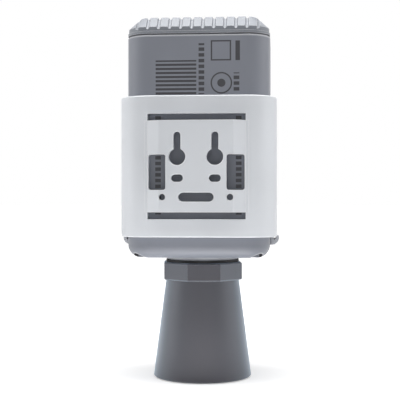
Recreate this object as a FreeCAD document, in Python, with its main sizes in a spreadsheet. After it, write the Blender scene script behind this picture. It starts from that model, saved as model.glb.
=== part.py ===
import FreeCAD, Part
import math
import os
import types

import Sketcher

doc = FreeCAD.newDocument("level_sensor")
sheet = doc.addObject("Spreadsheet::Sheet", "Sheet")

# Driving sizes in millimetres
SIZES = {
    # case
    "body_width": 71.4,
    "body_depth": 71.4,
    "corner_radius": 12.0,
    "wall": 2.5,
    "housing_height": 99.5,
    "housing_round": 0.7,
    "fit_gap": 0.2,
    "seal_thickness": 0.5,
    "seal_inset": 0.3,
    # cap
    "cap_height": 9.1,
    "cap_top": 2.2,
    "cap_plug_depth": 4.0,
    "cap_plug_thick": 2.0,
    "cap_skirt": 3.4,
    "cap_band": 1.3,
    "cap_inset": 0.4,
    "slope_run": 6.2,
    "ridge_round": 2.0,
    "groove_pitch": 5.455,
    "groove_margin": 5.0,
    "groove_width": 2.0,
    "groove_floor": 0.8,
    "groove_depth": 1.1,
    # base
    "base_height": 10.3,
    "base_floor": 3.0,
    "base_round": 6.4,
    "spigot_height": 4.0,
    "spigot_thick": 1.8,
    "collar_diameter": 36.6,
    "collar_height": 2.1,
    "lug_length": 24.0,
    "lug_height": 4.4,
    "lug_reach": 4.5,
    "lug_groove": 0.9,
    "lug_groove_depth": 1.8,
    "lug_round": 3.6,
    # case screws and their bosses
    "screw_inset": 8.7,
    "column_diameter": 8.8,
    "well_diameter": 7.0,
    "boss_diameter": 11.2,
    "boss_height": 14.0,
    "base_screw_length": 16.0,
    "screw_diameter": 3.0,
    "screw_head_diameter": 5.6,
    "screw_head_height": 2.2,
    "screw_gap": 0.05,
    "screw_clearance": 0.2,
    # horn
    "cone_height": 50.7,
    "mouth_diameter": 51.1,
    "cone_top_diameter": 38.2,
    "horn_wall": 1.9,
    "octagon_flats": 40.4,
    "octagon_height": 9.1,
    "octagon_turn": 6.5,
    "octagon_chamfer": 0.5,
    "rim_chamfer": 0.5,
    "throat_diameter": 16.0,
    "throat_height": 42.0,
    "throat_lip": 2.0,
    "neck_diameter": 27.0,
    "neck_length": 13.4,
    "neck_gap": 0.1,
    "gasket_diameter": 38.2,
    "gasket_thickness": 1.4,
    "nut_flats": 34.0,
    "nut_height": 5.0,
    # transducer
    "transducer_diameter": 17.8,
    "transducer_height": 12.0,
    "boot_thick": 1.6,
    "boot_height": 15.0,
    "lead_diameter": 1.2,
    "lead_spacing": 2.6,
    "lead_bend": 4.0,
    # wall bracket
    "bracket_gap": 0.3,
    "bracket_wall": 3.2,
    "bracket_edge": 0.7,
    "arm_end_round": 1.2,
    "bracket_height": 69.5,
    "bracket_seat_gap": 0.2,
    "arm_reach": 30.0,
    "panel_bottom": 12.3,
    "panel_height": 44.8,
    "panel_raise": 3.5,
    "panel_flat_width": 36.0,
    "panel_foot_width": 48.0,
    "ramp_shift": 0.7,
    "foot_overlap": 1.5,
    "panel_round": 2.0,
    "hole_edge": 0.4,
    "strap_slot_height": 3.4,
    "keyhole_spacing": 18.4,
    "keyhole_head": 8.1,
    "keyhole_slot": 3.4,
    "keyhole_height": 39.3,
    "keyhole_rise": 10.5,
    "small_slot_length": 5.8,
    "small_slot_width": 3.6,
    "small_slot_height": 28.9,
    "long_slot_length": 17.2,
    "long_slot_width": 4.4,
    "fixing_hole_diameter": 3.2,
    "fixing_hole_spacing": 33.0,
    "fixing_row_height": 19.7,
    "window_inner": 14.8,
    "window_width": 8.7,
    "window_bottom": 23.2,
    "window_height": 17.3,
    "window_corner": 1.2,
    # inner carrier
    "pillar_height": 9.9,
    "pillar_diameter": 6.4,
    "pillar_gap": 1.0,
    "pillar_rear_y": -14.0,
    "pillar_front_y": 10.0,
    "pillar_hole_depth": 8.0,
    "carrier_floor": 2.5,
    "carrier_width": 54.0,
    "carrier_margin": 1.4,
    "inner_gap": 0.4,
    "lead_notch_width": 12.0,
    "web_thick": 2.5,
    "post_diameter": 5.6,
    "standoff_diameter": 6.0,
    "standoff_length": 5.5,
    "inner_screw_length": 8.0,
    # batteries
    "cell_diameter": 18.5,
    "cell_height": 50.5,
    "cell_button_diameter": 9.0,
    "cell_button_height": 1.2,
    "cell_gap": 0.2,
    "cell_space": 2.2,
    "contact_thick": 0.4,
    "contact_width": 7.0,
    "contact_height": 4.0,
    "contact_length": 14.0,
    "bus_width": 8.0,
    "retainer_thick": 2.5,
    # circuit board
    "board_width": 54.0,
    "board_headroom": 4.5,
    "board_thick": 1.6,
    "board_lift": 3.0,
    "board_hole_inset": 5.0,
    "antenna_width": 34.0,
    "antenna_height": 10.0,
    "antenna_thick": 0.5,
    "antenna_overlap": 4.0,
    "antenna_strip": 2.5,
    "radio_width": 16.0,
    "radio_height": 20.0,
    "radio_thick": 2.4,
    "radio_x": -13.0,
    "radio_z": 52.0,
    "chip_size": 9.0,
    "chip_thick": 1.2,
    "chip_x": 8.0,
    "chip_z": 44.0,
    "transformer_size": 10.0,
    "transformer_thick": 8.0,
    "transformer_x": -12.0,
    "transformer_z": 26.0,
    "led_width": 3.2,
    "led_height": 1.6,
    "led_thick": 1.1,
    "led_x": 8.0,
    "led_z": 66.0,
    "header_width": 8.0,
    "header_height": 6.0,
    "header_thick": 6.0,
    "header_z": 6.0,
    "plug_height": 4.0,
    "plug_shrink": 0.6,
    "switch_size": 6.0,
    "switch_thick": 3.4,
    "switch_x": 17.0,
    "switch_z": 66.0,
    "button_diameter": 3.4,
    "button_height": 1.5,
    "button_depth": 1.6,
    "button_gap": 0.05,
}


class Size:
    """A length that carries its sheet formula along with its value."""

    def __init__(self, value, formula):
        self.value = value
        self.formula = formula

    def __add__(self, other):
        return joined(self, "+", other)

    def __radd__(self, other):
        return joined(other, "+", self)

    def __sub__(self, other):
        return joined(self, "-", other)

    def __rsub__(self, other):
        return joined(other, "-", self)

    def __mul__(self, other):
        return joined(self, "*", other)

    def __rmul__(self, other):
        return joined(other, "*", self)

    def __truediv__(self, other):
        return joined(self, "/", other)

    def __neg__(self):
        return joined(0, "-", self)


def as_size(number):
    """Turn a plain number into a Size and leave a Size as it is."""
    if isinstance(number, Size):
        return number
    return Size(float(number), repr(float(number)))


def joined(left, sign, right):
    """Join two lengths by an arithmetic sign, in value and in formula."""
    left = as_size(left)
    right = as_size(right)
    results = {
        "+": lambda: left.value + right.value,
        "-": lambda: left.value - right.value,
        "*": lambda: left.value * right.value,
        "/": lambda: left.value / right.value,
    }
    return Size(results[sign](), f"({left.formula} {sign} {right.formula})")


def whole(length):
    """Round a length down to a whole number, in value and in formula."""
    return Size(math.floor(length.value), f"floor({length.formula})")


def root(length):
    """Take the square root of a length, in value and in formula."""
    return Size(math.sqrt(length.value), f"sqrt({length.formula})")


def fill_sheet():
    """Write every size into the sheet and return them by name."""
    named = types.SimpleNamespace()
    for row, (name, value) in enumerate(SIZES.items(), start=1):
        sheet.set(f"A{row}", name)
        sheet.set(f"B{row}", str(value))
        sheet.setAlias(f"B{row}", name)
        setattr(named, name, Size(float(value), f"Sheet.{name}"))
    doc.recompute()
    return named


S = fill_sheet()

# Levels along the sounding axis, counted up from the mouth of the horn
FLANGE_Z = S.cone_height
GASKET_Z = FLANGE_Z + S.octagon_height
COLLAR_Z = GASKET_Z + S.gasket_thickness
BASE_Z = COLLAR_Z + S.collar_height
BASE_SEAL_Z = BASE_Z + S.base_height
HOUSING_Z = BASE_SEAL_Z + S.seal_thickness
CAP_SEAL_Z = HOUSING_Z + S.housing_height
CAP_Z = CAP_SEAL_Z + S.seal_thickness
FLOOR_Z = BASE_Z + S.base_floor
CARRIER_Z = FLOOR_Z + S.pillar_height
DECK_Z = CARRIER_Z + S.carrier_floor
CELL_Z = DECK_Z + S.contact_height
CELL_TOP_Z = CELL_Z + S.cell_height
BUS_Z = CELL_TOP_Z + S.cell_button_height
RETAINER_Z = BUS_Z + S.contact_thick
BOARD_Z = DECK_Z + S.board_lift
THROAT_Z = S.throat_height + S.throat_lip

# Places across the case
SCREW_X = S.body_width / 2 - S.screw_inset
SCREW_Y = S.body_depth / 2 - S.screw_inset
CORNERS = [(sx * SCREW_X, sy * SCREW_Y) for sx in (-1, 1) for sy in (-1, 1)]
NUT_CORNER = S.nut_flats / math.sqrt(3)
PILLAR_X = NUT_CORNER + S.pillar_diameter / 2 + S.pillar_gap
PILLARS = [(sx * PILLAR_X, y) for sx in (-1, 1) for y in (S.pillar_rear_y, S.pillar_front_y)]
CELL_X = (S.cell_diameter + S.cell_space) / 2
CELL_Y = -(S.cell_diameter / 2 + S.cell_gap)
POST_STEP = (S.cell_diameter / 2 + S.post_diameter / 2 + S.inner_gap) / math.sqrt(2)
POSTS = [(sx * (CELL_X + POST_STEP), CELL_Y + POST_STEP) for sx in (-1, 1)]
BOARD_Y = S.web_thick + S.standoff_length
BOARD_FACE_Y = BOARD_Y + S.board_thick
BOARD_HEIGHT = CAP_SEAL_Z - S.board_headroom - BOARD_Z
BOARD_HOLES = [
    (sx * (S.board_width / 2 - S.board_hole_inset), z)
    for sx in (-1, 1)
    for z in (S.board_hole_inset, RETAINER_Z - BOARD_Z - S.board_hole_inset)
]
CARRIER_REAR_Y = S.boss_diameter / 2 + S.inner_gap - SCREW_Y
CARRIER_FRONT_Y = BOARD_FACE_Y + S.header_thick + S.carrier_margin
GROOVE_SPAN = S.groove_pitch * whole((S.body_width - 2 * S.groove_margin) / S.groove_pitch)
SPIGOT_INSET = S.wall + S.fit_gap
CAVITY_INSET = SPIGOT_INSET + S.spigot_thick
SCREW_HOLE = S.screw_diameter + 2 * S.screw_gap

sub_parts = []


def bind(target, name, length):
    """Tie one property to its sheet formula."""
    target.setExpression(name, as_size(length).formula)


def place(target, x=0, y=0, z=0):
    """Tie a sub-part's place to sheet formulas."""
    for axis, length in (("x", x), ("y", y), ("z", z)):
        bind(target, f"Placement.Base.{axis}", length)


def new_body(label, x=0, y=0, z=0):
    """Start a sub-part that is built up by features."""
    body = doc.addObject("PartDesign::Body", label)
    body.Label = label
    place(body, x, y, z)
    sub_parts.append(body)
    return body


def new_box(label, width, depth, height, x, y, z):
    """Add a plain block, centred on x, with its rear face at y and its foot at z."""
    box = doc.addObject("Part::Box", label)
    box.Label = label
    bind(box, "Length", width)
    bind(box, "Width", depth)
    bind(box, "Height", height)
    place(box, x - width / 2, y, z)
    sub_parts.append(box)
    return box


def sketch_on(body, plane, offset=0):
    """Lay a sketch on one of the body's own planes, moved along its normal."""
    sketch = body.newObject("Sketcher::SketchObject", f"{body.Name}_sketch")
    support = next(item for item in body.Origin.OriginFeatures if item.Role == plane)
    sketch.AttachmentSupport = [(support, "")]
    sketch.MapMode = "FlatFace"
    bind(sketch, "AttachmentOffset.Base.z", offset)
    return sketch


def drive(sketch, length, *constraint):
    """Add a dimension to a sketch and tie it to its sheet formula."""
    length = as_size(length)
    index = sketch.addConstraint(Sketcher.Constraint(*constraint, length.value))
    name = f"size_{index}"
    sketch.renameConstraint(index, name)
    sketch.setExpression(f"Constraints.{name}", length.formula)


def fix_point(sketch, geometry, position, x, y):
    """Hold one point of a sketch at x and y."""
    for kind, axis, length in (("DistanceX", -2, x), ("DistanceY", -1, y)):
        if as_size(length).value == 0:
            sketch.addConstraint(Sketcher.Constraint("PointOnObject", geometry, position, axis))
        else:
            drive(sketch, length, kind, -1, 1, geometry, position)


def point(x, y):
    """Give the vector of a sketch point."""
    return FreeCAD.Vector(as_size(x).value, as_size(y).value, 0)


def circle(sketch, diameter, x=0, y=0):
    """Draw a circle by its diameter and centre."""
    radius = as_size(diameter).value / 2
    index = sketch.addGeometry(Part.Circle(point(x, y), FreeCAD.Vector(0, 0, 1), radius))
    drive(sketch, diameter, "Diameter", index)
    fix_point(sketch, index, 3, x, y)


def polygon(sketch, corners):
    """Draw a closed outline of straight lines through the corners."""
    first = sketch.GeometryCount
    count = len(corners)
    for index, corner in enumerate(corners):
        following = corners[(index + 1) % count]
        sketch.addGeometry(Part.LineSegment(point(*corner), point(*following)))
    for index, corner in enumerate(corners):
        line = first + index
        following = first + (index + 1) % count
        sketch.addConstraint(Sketcher.Constraint("Coincident", line, 2, following, 1))
        fix_point(sketch, line, 1, *corner)


def rectangle(sketch, left, right, bottom, top):
    """Draw a rectangle by its four sides."""
    polygon(sketch, [(left, bottom), (right, bottom), (right, top), (left, top)])


def arc(sketch, x, y, radius, start, end):
    """Draw an arc about a centre, between two angles in degrees."""
    ring = Part.Circle(point(x, y), FreeCAD.Vector(0, 0, 1), as_size(radius).value)
    return sketch.addGeometry(Part.ArcOfCircle(ring, math.radians(start), math.radians(end)))


def rounded_rectangle(sketch, width, depth, radius, x=0, y=0):
    """Draw a rectangle with round corners about a centre."""
    half_x = width / 2 - radius
    half_y = depth / 2 - radius
    signs = [(1, 1), (-1, 1), (-1, -1), (1, -1)]
    arcs = []
    for turn, (sx, sy) in enumerate(signs):
        arcs.append(arc(sketch, x + sx * half_x, y + sy * half_y, radius, 90 * turn, 90 * turn + 90))
    for turn, index in enumerate(arcs):
        following = arcs[(turn + 1) % 4]
        start = sketch.Geometry[index].EndPoint
        end = sketch.Geometry[following].StartPoint
        line = sketch.addGeometry(Part.LineSegment(start, end))
        sketch.addConstraint(Sketcher.Constraint("Tangent", index, 2, line, 1))
        sketch.addConstraint(Sketcher.Constraint("Tangent", line, 2, following, 1))
        sketch.addConstraint(Sketcher.Constraint("Horizontal" if turn % 2 == 0 else "Vertical", line))
        if turn > 0:
            sketch.addConstraint(Sketcher.Constraint("Equal", arcs[0], index))
    drive(sketch, radius, "Radius", arcs[0])
    fix_point(sketch, arcs[0], 3, x + half_x, y + half_y)
    fix_point(sketch, arcs[2], 3, x - half_x, y - half_y)


def stadium(sketch, x, y, length, width, upright=False):
    """Draw a slot with round ends, lying or upright, about its centre."""
    radius = width / 2
    reach = (length - width) / 2
    turn = 90 if upright else 0
    along = (0, reach) if upright else (reach, 0)
    near = arc(sketch, x + along[0], y + along[1], radius, turn - 90, turn + 90)
    far = arc(sketch, x - along[0], y - along[1], radius, turn + 90, turn + 270)
    for first, second in ((near, far), (far, near)):
        start = sketch.Geometry[first].EndPoint
        end = sketch.Geometry[second].StartPoint
        line = sketch.addGeometry(Part.LineSegment(start, end))
        sketch.addConstraint(Sketcher.Constraint("Tangent", first, 2, line, 1))
        sketch.addConstraint(Sketcher.Constraint("Tangent", line, 2, second, 1))
    sketch.addConstraint(Sketcher.Constraint("Equal", near, far))
    drive(sketch, radius, "Radius", near)
    fix_point(sketch, near, 3, x + along[0], y + along[1])
    fix_point(sketch, far, 3, x - along[0], y - along[1])


def pad(body, sketch, length, downwards=False, both_ways=False):
    """Raise a solid from a sketch."""
    feature = body.newObject("PartDesign::Pad", f"{body.Name}_pad")
    feature.Profile = sketch
    feature.SideType = "Symmetric" if both_ways else "One side"
    feature.Reversed = downwards
    bind(feature, "Length", length)
    doc.recompute()
    return feature


def pocket(body, sketch, length=None, along_normal=False, both_ways=False, slope=None):
    """Cut a sketch out of the body, to a depth, along a slope or else right through it."""
    before = body.Shape.Volume
    feature = body.newObject("PartDesign::Pocket", f"{body.Name}_pocket")
    feature.Profile = sketch
    feature.SideType = "Symmetric" if both_ways else "One side"
    feature.Reversed = along_normal
    if slope:
        feature.UseCustomVector = True
        for axis, length in zip("xyz", slope):
            bind(feature, f"Direction.{axis}", length)
        length = root(slope[1] * slope[1] + slope[2] * slope[2])
        feature.AlongSketchNormal = False
    if length is None:
        feature.Type = "ThroughAll"
    else:
        bind(feature, "Length", length)
    doc.recompute()
    if not body.Shape.Volume < before:
        raise RuntimeError(f"{feature.Name} cuts nothing")
    return feature


def revolve(body, corners):
    """Turn a half section, given as radius and height, about the upright axis."""
    sketch = sketch_on(body, "XZ_Plane")
    polygon(sketch, corners)
    feature = body.newObject("PartDesign::Revolution", f"{body.Name}_turn")
    feature.Profile = sketch
    feature.ReferenceAxis = (sketch, ["V_Axis"])
    feature.Angle = 360
    doc.recompute()
    return feature


def fillet(body, radius, wanted):
    """Round the edges that the test picks."""
    base = body.Tip
    names = [f"Edge{index}" for index, edge in enumerate(base.Shape.Edges, start=1) if wanted(edge)]
    feature = body.newObject("PartDesign::Fillet", f"{body.Name}_round")
    feature.Base = (base, names)
    bind(feature, "Radius", radius)
    doc.recompute()
    return feature


def chamfer(body, height, run, wanted):
    """Slope off the edges that the test picks, by a height down the wall and a run along the top."""
    base = body.Tip
    names = [f"Edge{index}" for index, edge in enumerate(base.Shape.Edges, start=1) if wanted(edge)]
    feature = body.newObject("PartDesign::Chamfer", f"{body.Name}_slope")
    feature.Base = (base, names)
    feature.ChamferType = "Two distances"
    bind(feature, "Size", height)
    bind(feature, "Size2", run)
    doc.recompute()
    return feature


def lies_at(edge, height):
    """Say whether an edge lies flat at a height."""
    box = edge.BoundBox
    return abs(box.ZMin - height) < 0.001 and abs(box.ZMax - height) < 0.001


def is_straight(edge):
    """Say whether an edge is a straight line."""
    return isinstance(edge.Curve, Part.Line)


def stands_at(edge, x, y):
    """Say whether an upright edge stands at a distance from the middle, where one is given, and at y."""
    box = edge.BoundBox
    upright = box.XLength < 0.001 and box.YLength < 0.001
    return upright and abs(box.YMin - y) < 0.001 and (x is None or abs(abs(box.XMin) - x) < 0.001)


def case_outline(sketch, inset=0):
    """Draw the rounded-square plan of the case, set in by a margin."""
    rounded_rectangle(
        sketch,
        S.body_width - 2 * as_size(inset),
        S.body_depth - 2 * as_size(inset),
        S.corner_radius - as_size(inset),
    )


def circles(sketch, diameter, centres):
    """Draw the same circle at several centres."""
    for x, y in centres:
        circle(sketch, diameter, x, y)


def make_housing():
    """Main shell: a rounded-square tube with a screw boss in each lower corner."""
    body = new_body("housing", z=HOUSING_Z)
    outline = sketch_on(body, "XY_Plane")
    case_outline(outline)
    pad(body, outline, S.housing_height)
    fillet(body, S.housing_round, lambda edge: lies_at(edge, S.housing_height.value))
    cavity = sketch_on(body, "XY_Plane", S.housing_height)
    case_outline(cavity, S.wall)
    pocket(body, cavity)
    boss_foot = S.spigot_height - S.seal_thickness + S.fit_gap
    bosses = sketch_on(body, "XY_Plane", boss_foot)
    circles(bosses, S.boss_diameter, CORNERS)
    pad(body, bosses, S.boss_height)
    holes = sketch_on(body, "XY_Plane", boss_foot + S.boss_height)
    circles(holes, SCREW_HOLE, CORNERS)
    pocket(body, holes, S.boss_height)


def make_cap():
    """Lid: low skirt, four slopes up to a flat top, grooves from back to front and a plug below."""
    body = new_body("cap", z=CAP_Z)
    outline = sketch_on(body, "XY_Plane")
    case_outline(outline, S.cap_inset)
    pad(body, outline, S.cap_height)
    chamfer(body, S.cap_height - S.cap_skirt, S.slope_run, lambda edge: lies_at(edge, S.cap_height.value))
    fillet(body, S.ridge_round, lambda edge: lies_at(edge, S.cap_height.value))
    band = sketch_on(body, "XY_Plane")
    case_outline(band)
    pad(body, band, S.cap_band)
    plug = sketch_on(body, "XY_Plane")
    case_outline(plug, SPIGOT_INSET)
    pad(body, plug, S.cap_plug_depth, downwards=True)
    hollow = sketch_on(body, "XY_Plane", -S.cap_plug_depth)
    case_outline(hollow, SPIGOT_INSET + S.cap_plug_thick)
    pocket(body, hollow, S.cap_plug_depth + S.cap_skirt - S.groove_depth, along_normal=True)
    dome = sketch_on(body, "XY_Plane")
    case_outline(dome, S.cap_inset + S.slope_run + S.cap_top)
    pocket(body, dome, S.cap_height - S.groove_depth - S.cap_top, along_normal=True)
    cut_corner_slots(body)
    cut_grooves(body)


def cut_grooves(body):
    """Cut the row of grooves up the rear slope, along the top and down the front slope."""
    rise = S.cap_height - S.cap_skirt
    first = S.groove_pitch - GROOVE_SPAN / 2
    cuts = []
    for side in (-1, 1):
        profile = sketch_on(body, "XZ_Plane", -side * S.body_depth / 2)
        groove_profile(profile, first, S.cap_skirt - S.cap_inset * rise / S.slope_run)
        cuts.append(pocket_up(body, profile, side, S.cap_inset, rise, S.slope_run))
    profile = sketch_on(body, "XZ_Plane")
    groove_profile(profile, first, S.cap_height)
    cuts.append(pocket(body, profile, S.body_depth - 2 * (S.cap_inset + S.slope_run), both_ways=True))
    row = body.newObject("PartDesign::LinearPattern", "cap_grooves")
    row.Originals = cuts
    row.Direction = (profile, ["H_Axis"])
    bind(row, "Occurrences", GROOVE_SPAN / S.groove_pitch - 1)
    bind(row, "Length", -2 * first)
    body.Tip = row
    doc.recompute()


def cut_corner_slots(body):
    """Cut the outermost grooves, which run out on the rounded corners of the slopes."""
    x = GROOVE_SPAN / 2
    half = (S.groove_floor + S.groove_width) / 4
    corner = S.corner_radius - S.cap_inset
    across = x - S.body_width / 2 + S.corner_radius
    run = root(corner * corner - across * across)
    lead = S.corner_radius - run
    climb = (S.cap_height - S.cap_skirt) / S.slope_run * (corner - across) + S.groove_depth
    floor = S.cap_skirt - S.groove_depth - lead * climb / run
    for side in (-1, 1):
        profile = sketch_on(body, "XZ_Plane", -side * S.body_depth / 2)
        rectangle(profile, x - half, x + half, floor, floor + S.cap_height)
        rectangle(profile, -x - half, half - x, floor, floor + S.cap_height)
        pocket_up(body, profile, side, lead, climb, run)


def pocket_up(body, profile, side, lead, rise, run):
    """Cut a sketch inwards from the rear or the front, along a slope that starts a lead further out."""
    ratio = (run + lead) / run
    return pocket(body, profile, slope=(as_size(0), -side * run * ratio, rise * ratio))


def groove_profile(sketch, x, top):
    """Draw the section of one groove, open upwards, below a height."""
    widen = (S.groove_width - S.groove_floor) / 2
    half_floor = S.groove_floor / 2
    half_top = half_floor + 2 * widen
    polygon(sketch, [
        (x - half_floor, top - S.groove_depth),
        (x + half_floor, top - S.groove_depth),
        (x + half_top, top + S.groove_depth),
        (x - half_top, top + S.groove_depth),
    ])


def make_seal(label, z):
    """Flat rounded-square gasket between two parts of the case."""
    body = new_body(label, z=z)
    ring = sketch_on(body, "XY_Plane")
    case_outline(ring, S.seal_inset)
    pad(body, ring, S.seal_thickness)
    opening = sketch_on(body, "XY_Plane", S.seal_thickness)
    case_outline(opening, S.wall)
    pocket(body, opening)


def make_base():
    """Bottom tray with a round lower edge, spigot, screw columns, collar and side lugs."""
    body = new_body("base", z=BASE_Z)
    outline = sketch_on(body, "XY_Plane")
    case_outline(outline)
    pad(body, outline, S.base_height)
    fillet(body, S.base_round, lambda edge: lies_at(edge, 0))
    spigot = sketch_on(body, "XY_Plane", S.base_height)
    case_outline(spigot, SPIGOT_INSET)
    pad(body, spigot, S.spigot_height)
    cavity = sketch_on(body, "XY_Plane", S.base_height + S.spigot_height)
    case_outline(cavity, CAVITY_INSET)
    pocket(body, cavity, S.base_height + S.spigot_height - S.base_floor)
    columns = sketch_on(body, "XY_Plane", S.base_floor)
    circles(columns, S.column_diameter, CORNERS)
    pad(body, columns, S.base_height + S.spigot_height - S.base_floor)
    pillars = sketch_on(body, "XY_Plane", S.base_floor)
    circles(pillars, S.pillar_diameter, PILLARS)
    pad(body, pillars, S.pillar_height)
    collar = sketch_on(body, "XY_Plane")
    circle(collar, S.collar_diameter)
    pad(body, collar, S.collar_height, downwards=True)
    add_lugs(body)
    wells = sketch_on(body, "XY_Plane")
    circles(wells, S.well_diameter, CORNERS)
    pocket(body, wells, S.base_height, along_normal=True)
    shanks = sketch_on(body, "XY_Plane", S.base_height + S.spigot_height)
    circles(shanks, S.screw_diameter + 2 * S.screw_clearance, CORNERS)
    pocket(body, shanks, S.spigot_height)
    pilots = sketch_on(body, "XY_Plane", S.base_floor + S.pillar_height)
    circles(pilots, SCREW_HOLE, PILLARS)
    pocket(body, pilots, S.pillar_hole_depth)
    neck = sketch_on(body, "XY_Plane", S.base_floor)
    circle(neck, S.neck_diameter + 2 * S.neck_gap)
    pocket(body, neck, S.base_floor + S.collar_height)


def add_lugs(body):
    """Side lugs that the bracket stands on, each with a groove behind its lip."""
    lip = S.body_width / 2 + S.lug_reach
    inside = S.body_width / 2 - S.wall
    foot = S.base_height - S.lug_height
    profile = sketch_on(body, "XZ_Plane")
    for side in (-1, 1):
        rectangle(profile, side * inside, side * lip, foot, S.base_height)
    pad(body, profile, S.lug_length, both_ways=True)
    fillet(body, S.lug_round, lambda edge: is_lug_edge(edge, lip.value, foot.value))
    groove = sketch_on(body, "XZ_Plane")
    middle = S.body_width / 2 + S.lug_reach / 2
    for side in (-1, 1):
        rectangle(
            groove,
            side * (middle - S.lug_groove / 2),
            side * (middle + S.lug_groove / 2),
            S.base_height - S.lug_groove_depth,
            S.base_height + S.lug_groove_depth,
        )
    pocket(body, groove, S.lug_length, both_ways=True)


def is_lug_edge(edge, reach, height):
    """Say whether an edge is the lower outer edge of a lug."""
    box = edge.BoundBox
    outside = min(abs(box.XMin - reach), abs(box.XMin + reach)) < 0.001 and box.XLength < 0.001
    return outside and abs(box.ZMin - height) < 0.001 and box.ZLength < 0.001


def make_bracket():
    """C-shaped wall bracket with a raised panel, keyholes, slots and windows."""
    body = new_body("wall_bracket", z=BASE_SEAL_Z + S.bracket_seat_gap)
    rear = S.body_depth / 2 + S.bracket_gap + S.bracket_wall
    outline = sketch_on(body, "XY_Plane")
    case_outline(outline, -S.bracket_gap - S.bracket_wall)
    pad(body, outline, S.bracket_height)
    inside = sketch_on(body, "XY_Plane", S.bracket_height)
    case_outline(inside, -S.bracket_gap)
    pocket(body, inside)
    front = sketch_on(body, "XY_Plane", S.bracket_height)
    rectangle(front, -S.body_width, S.body_width, S.arm_reach, S.body_depth)
    pocket(body, front)
    top = S.bracket_height.value
    fillet(body, S.arm_end_round, lambda edge: stands_at(edge, None, S.arm_reach.value))
    fillet(body, S.bracket_edge, lambda edge: lies_at(edge, 0) or lies_at(edge, top))
    half_foot = S.panel_foot_width / 2
    panel_top = S.panel_bottom + S.panel_height
    gap = sketch_on(body, "XZ_Plane")
    rectangle(
        gap, -half_foot, half_foot,
        S.panel_bottom - S.strap_slot_height, panel_top + S.strap_slot_height,
    )
    pocket(body, gap, S.body_depth, along_normal=True)
    raised = add_panel(body, rear)
    cut_panel(body, raised)


def add_panel(body, rear):
    """Raised panel that bridges the wall of the bracket between the strap slots."""
    front = rear - S.bracket_wall
    foot = S.panel_foot_width / 2
    flat = S.panel_flat_width / 2
    end = foot + S.foot_overlap
    right = [
        (end, -front),
        (end, -rear),
        (foot, -rear),
        (flat, -rear - S.panel_raise),
    ]
    inner = [
        (flat - S.ramp_shift, -front - S.panel_raise),
        (foot - S.ramp_shift, -front),
    ]
    mirrored = [(-x, y) for x, y in reversed(right)]
    inner_left = [(-x, y) for x, y in reversed(inner)]
    panel = sketch_on(body, "XY_Plane", S.panel_bottom)
    polygon(panel, right + mirrored + inner_left + inner)
    pad(body, panel, S.panel_height)
    raised = -rear.value - S.panel_raise.value
    fillet(body, S.panel_round, lambda edge: stands_at(edge, flat.value, raised))
    return raised


def cut_panel(body, raised):
    """Openings of the raised panel: keyholes, slots, fixing holes and windows."""
    heads = sketch_on(body, "XZ_Plane")
    for side in (-1, 1):
        circle(heads, S.keyhole_head, side * S.keyhole_spacing / 2, S.keyhole_height)
        circle(heads, S.fixing_hole_diameter, side * S.fixing_hole_spacing / 2, S.fixing_row_height)
        stadium(
            heads, side * S.keyhole_spacing / 2, S.small_slot_height,
            S.small_slot_length, S.small_slot_width,
        )
        rounded_rectangle(
            heads, S.window_width, S.window_height, S.window_corner,
            side * (S.window_inner + S.window_width / 2), S.window_bottom + S.window_height / 2,
        )
    stadium(heads, 0, S.fixing_row_height, S.long_slot_length, S.long_slot_width)
    pocket(body, heads, S.body_depth, along_normal=True)
    necks = sketch_on(body, "XZ_Plane")
    for side in (-1, 1):
        stadium(
            necks, side * S.keyhole_spacing / 2, S.keyhole_height + S.keyhole_rise / 2,
            S.keyhole_rise + S.keyhole_slot, S.keyhole_slot, upright=True,
        )
    pocket(body, necks, S.body_depth, along_normal=True)
    fillet(body, S.hole_edge, lambda edge: is_hole_edge(edge, raised))


def is_hole_edge(edge, y):
    """Say whether an edge rims one of the openings between the windows."""
    box = edge.BoundBox
    lowest = S.panel_bottom + S.hole_edge
    highest = S.panel_bottom + S.panel_height - S.hole_edge
    between_windows = max(abs(box.XMin), abs(box.XMax)) < (S.window_inner - S.hole_edge).value
    off_the_ends = box.ZMin > lowest.value and box.ZMax < highest.value
    return between_windows and off_the_ends and abs(box.YMin - y) < 0.001 and box.YLength < 0.001


def make_horn():
    """Horn: open cone, octagonal flange and hollow neck in one moulding."""
    body = new_body("horn")
    bore = S.transducer_diameter / 2 + S.boot_thick + S.neck_gap
    neck = S.neck_diameter / 2
    neck_top = GASKET_Z + S.neck_length
    revolve(body, [
        (S.mouth_diameter / 2 - S.horn_wall, S.rim_chamfer),
        (S.mouth_diameter / 2 - S.horn_wall + S.rim_chamfer, 0),
        (S.mouth_diameter / 2 - S.rim_chamfer, 0),
        (S.mouth_diameter / 2, S.rim_chamfer),
        (S.cone_top_diameter / 2, FLANGE_Z),
        (S.cone_top_diameter / 2, GASKET_Z),
        (neck, GASKET_Z),
        (neck, neck_top),
        (bore, neck_top),
        (bore, THROAT_Z),
        (S.throat_diameter / 2, THROAT_Z),
        (S.throat_diameter / 2, S.throat_height),
    ])
    flange = sketch_on(body, "XY_Plane", FLANGE_Z)
    flat = S.octagon_flats / 2
    corner = flat * math.tan(math.pi / 8)
    polygon(flange, [
        (flat, -corner), (flat, corner), (corner, flat), (-corner, flat),
        (-flat, corner), (-flat, -corner), (-corner, -flat), (corner, -flat),
    ])
    circle(flange, S.neck_diameter)
    bind(flange, "AttachmentOffset.Rotation.Angle", S.octagon_turn)
    pad(body, flange, S.octagon_height)
    chamfer(body, S.octagon_chamfer, S.octagon_chamfer, is_flange_edge)


def is_flange_edge(edge):
    """Say whether an edge is one of the straight sides of the octagon's faces."""
    return is_straight(edge) and (lies_at(edge, FLANGE_Z.value) or lies_at(edge, GASKET_Z.value))


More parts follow.
